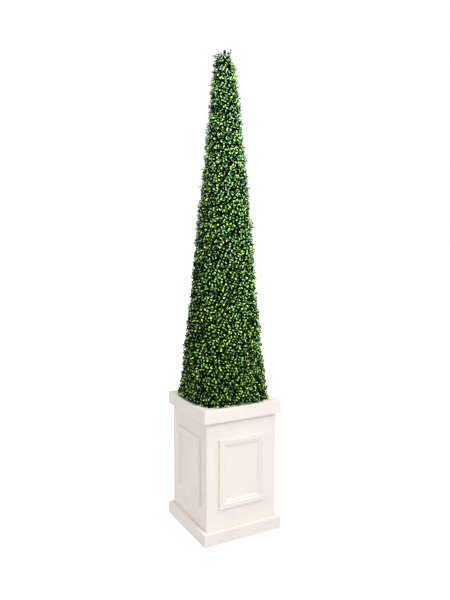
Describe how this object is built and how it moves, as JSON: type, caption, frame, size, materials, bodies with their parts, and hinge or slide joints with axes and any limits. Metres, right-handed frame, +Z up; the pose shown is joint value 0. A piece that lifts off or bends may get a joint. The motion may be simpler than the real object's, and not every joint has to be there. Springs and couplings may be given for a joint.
{
  "type": "artificial boxwood cone topiary",
  "caption": "Tall slender clipped cone of artificial boxwood on a pole trunk, standing in a square cream planter with a cap, a plinth and raised panel mouldings.",
  "frame": {"origin": "the middle of the planter's flat underside, at floor level", "axes": "+Z is up along the trunk, -Y is the front side of the planter and +X is its right side seen from the front"},
  "size_m": [0.405, 0.405, 2.213],
  "materials": {
    "painted_board": "satin",
    "potting_fill": "matte",
    "bark": "matte",
    "foliage": "satin"
  },
  "bodies": {
    "root": {"body_board_front": "painted_board", "body_board_right": "painted_board", "body_board_back": "painted_board", "body_board_left": "painted_board", "cap_rail_front": "painted_board", "cap_rail_right": "painted_board", "cap_rail_back": "painted_board", "cap_rail_left": "painted_board", "plinth_rail_front": "painted_board", "plinth_rail_right": "painted_board", "plinth_rail_back": "painted_board", "plinth_rail_left": "painted_board", "moulding_front_bottom": "painted_board", "moulding_front_right": "painted_board", "moulding_front_top": "painted_board", "moulding_front_left": "painted_board", "moulding_right_bottom": "painted_board", "moulding_right_right": "painted_board", "moulding_right_top": "painted_board", "moulding_right_left": "painted_board", "moulding_back_bottom": "painted_board", "moulding_back_right": "painted_board", "moulding_back_top": "painted_board", "moulding_back_left": "painted_board", "moulding_left_bottom": "painted_board", "moulding_left_right": "painted_board", "moulding_left_top": "painted_board", "moulding_left_left": "painted_board", "planter_floor": "painted_board", "potting_fill": "potting_fill", "trunk": "bark", "foliage_cone": "foliage"}
  },
  "joints": []
}
